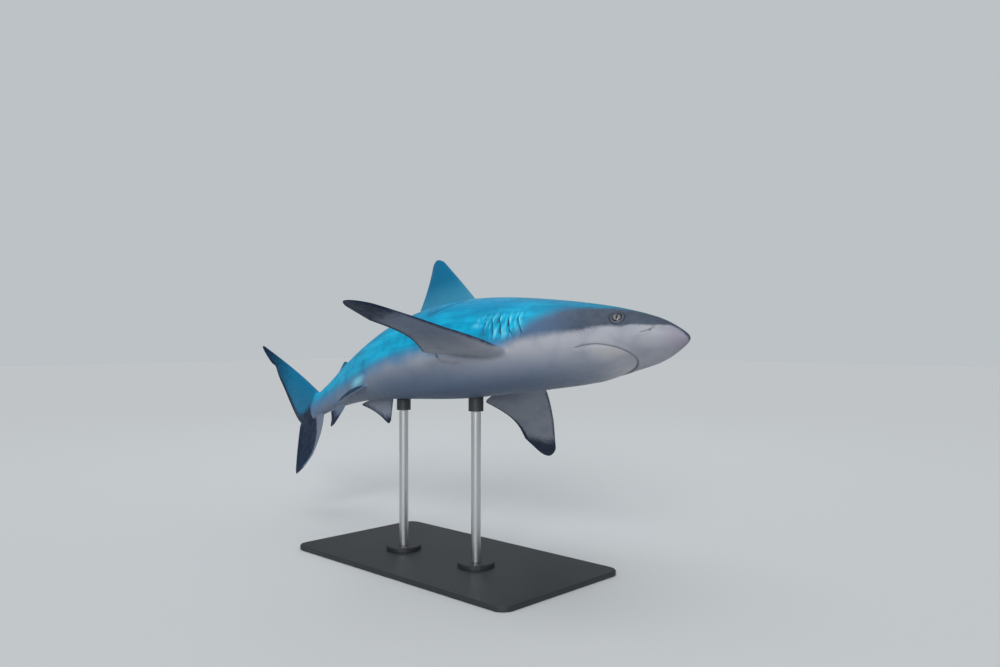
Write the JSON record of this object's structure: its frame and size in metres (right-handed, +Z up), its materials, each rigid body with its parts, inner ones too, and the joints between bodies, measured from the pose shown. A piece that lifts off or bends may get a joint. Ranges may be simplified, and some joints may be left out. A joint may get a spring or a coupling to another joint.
{
  "type": "grey reef shark display model",
  "caption": "Life-size still model of a grey reef shark in a banked swimming turn, held by rods on a flat base plate.",
  "frame": {"origin": "centre of the base plate's underside", "axes": "+X towards the snout along the model's longest side, +Y to the shark's left, +Z up"},
  "size_m": [1.6209, 0.6675, 0.7245],
  "materials": {
    "skin": "wet-looking satin shark skin, darker above and pale below",
    "eye": "polished, clear over a pale iris with a dark slit pupil",
    "stand_paint": "fine-textured black powder coat on steel",
    "stand_steel": "brushed stainless steel"
  },
  "bodies": {
    "root": {"head": "skin", "lower_jaw": "skin", "gill_region": "skin", "trunk_front": "skin", "trunk_rear": "skin", "tail_stalk": "skin", "caudal_fin_upper": "skin", "caudal_fin_lower": "skin", "dorsal_fin_first": "skin", "dorsal_fin_second": "skin", "anal_fin": "skin", "pectoral_fin_right": "skin", "pectoral_fin_left": "skin", "pelvic_fin_right": "skin", "pelvic_fin_left": "skin", "eye_right": "eye", "eye_left": "eye", "stand_base": "stand_paint", "stand_rod_front": "stand_steel", "stand_flange_front": "stand_paint", "stand_sleeve_front": "stand_paint", "stand_rod_rear": "stand_steel", "stand_flange_rear": "stand_paint", "stand_sleeve_rear": "stand_paint"}
  },
  "joints": []
}
